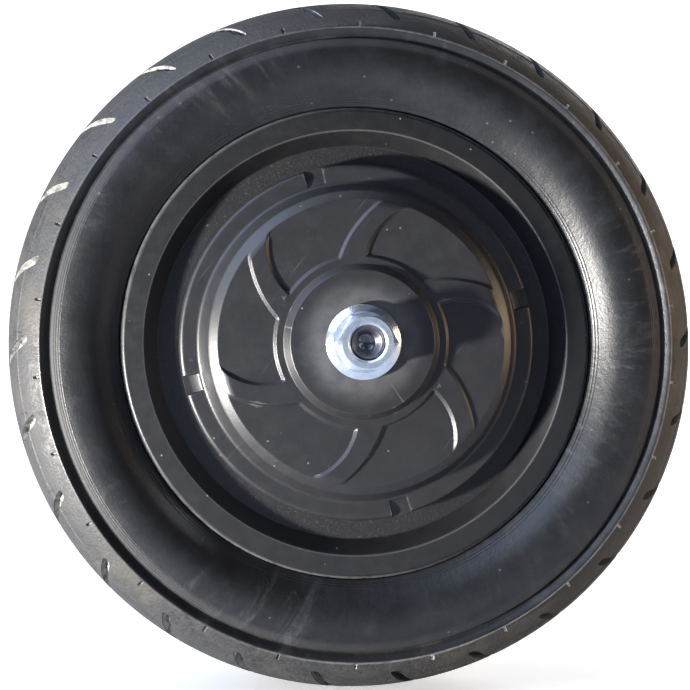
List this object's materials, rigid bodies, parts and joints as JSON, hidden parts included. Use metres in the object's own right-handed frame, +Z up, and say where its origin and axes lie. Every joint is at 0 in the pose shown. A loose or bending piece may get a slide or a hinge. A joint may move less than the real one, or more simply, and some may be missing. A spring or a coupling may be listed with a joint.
{
  "type": "hub motor wheel",
  "caption": "Scooter wheel with a brushless motor in its hub: road tyre on a cast rim, a screwed-in cover with curved raised spokes, a fixed threaded axle and a cable.",
  "frame": {"origin": "centre of the wheel, on the spin axis, in the tyre's middle plane", "axes": "+Y along the axle towards the cable side; the screwed-in cover faces -Y; +Z up"},
  "size_m": [0.255, 0.1741, 0.255],
  "materials": {
    "rim_paint": "satin",
    "cover_paint": "satin",
    "tyre_rubber": "matt, dusty",
    "tube_rubber": "matt",
    "seal_rubber": "matt",
    "zinc_steel": "bright zinc plate",
    "axle_steel": "turned",
    "bearing_steel": "ground",
    "shield_steel": "pressed",
    "flux_steel": "oiled",
    "magnet_nickel": "nickel plate",
    "lamination_steel": "laminated",
    "carrier_alu": "cast",
    "coil_a": "enamelled copper",
    "coil_b": "enamelled copper",
    "coil_c": "enamelled copper",
    "insulator_plastic": "moulded",
    "board_green": "printed board",
    "sensor_plastic": "moulded",
    "lead_sleeve": "sleeved",
    "cable_jacket": "matt",
    "plug_plastic": "moulded",
    "plug_brass": "plated",
    "valve_brass": "turned",
    "cap_plastic": "moulded"
  },
  "bodies": {
    "axle": {"axle_shaft": "axle_steel", "bearing_inner_ring_cover_side": "bearing_steel", "bearing_inner_ring_cable_side": "bearing_steel", "cover_side_spacer": "zinc_steel", "cover_side_axle_nut": "zinc_steel", "cable_side_washer": "zinc_steel", "cable_side_spring_washer": "zinc_steel", "cable_side_axle_nut": "zinc_steel", "stator_core": "lamination_steel", "winding_insulator_cover_side": "insulator_plastic", "winding_insulator_cable_side": "insulator_plastic", "phase_a_coils": "coil_a", "phase_b_coils": "coil_b", "phase_c_coils": "coil_c", "stator_carrier": "carrier_alu", "carrier_key": "axle_steel", "carrier_circlip": "axle_steel", "hall_sensor_board": "board_green", "hall_sensors": "sensor_plastic", "phase_leads": "lead_sleeve", "hall_leads": "lead_sleeve", "motor_cable": "cable_jacket", "cable_grommet": "seal_rubber", "plug_boot": "plug_plastic", "plug_body": "plug_plastic", "plug_collar": "plug_plastic", "plug_pins": "plug_brass"},
    "wheel": {"wheel_rim": "rim_paint", "flux_ring": "flux_steel", "rotor_magnets": "magnet_nickel", "side_cover": "cover_paint", "cover_o_ring": "seal_rubber", "bearing_outer_ring_cover_side": "bearing_steel", "bearing_shields_cover_side": "shield_steel", "bearing_outer_ring_cable_side": "bearing_steel", "bearing_shields_cable_side": "shield_steel", "axle_seal_cover_side": "seal_rubber", "axle_seal_cable_side": "seal_rubber", "tyre": "tyre_rubber", "inner_tube": "tube_rubber", "valve_stem": "valve_brass", "valve_core": "valve_brass", "valve_cap": "cap_plastic"},
    "cover_side_ball_set": {"bearing_balls_cover_side": "bearing_steel", "bearing_cage_cover_side": "shield_steel"},
    "cable_side_ball_set": {"bearing_balls_cable_side": "bearing_steel", "bearing_cage_cable_side": "shield_steel"}
  },
  "joints": [
    {"name": "wheel_spin", "type": "hinge", "parent": "axle", "child": "wheel", "pos_m": [0, 0, 0], "axis": [0, 1, 0], "continuous": true},
    {"name": "cover_side_balls_roll", "type": "hinge", "parent": "axle", "child": "cover_side_ball_set", "pos_m": [0, 0, 0], "axis": [0, 1, 0], "continuous": true},
    {"name": "cable_side_balls_roll", "type": "hinge", "parent": "axle", "child": "cable_side_ball_set", "pos_m": [0, 0, 0], "axis": [0, 1, 0], "continuous": true}
  ],
  "couplings": [
    {"joint": "cover_side_balls_roll", "follows": "wheel_spin", "ratio": 0.6192},
    {"joint": "cable_side_balls_roll", "follows": "wheel_spin", "ratio": 0.6192}
  ]
}
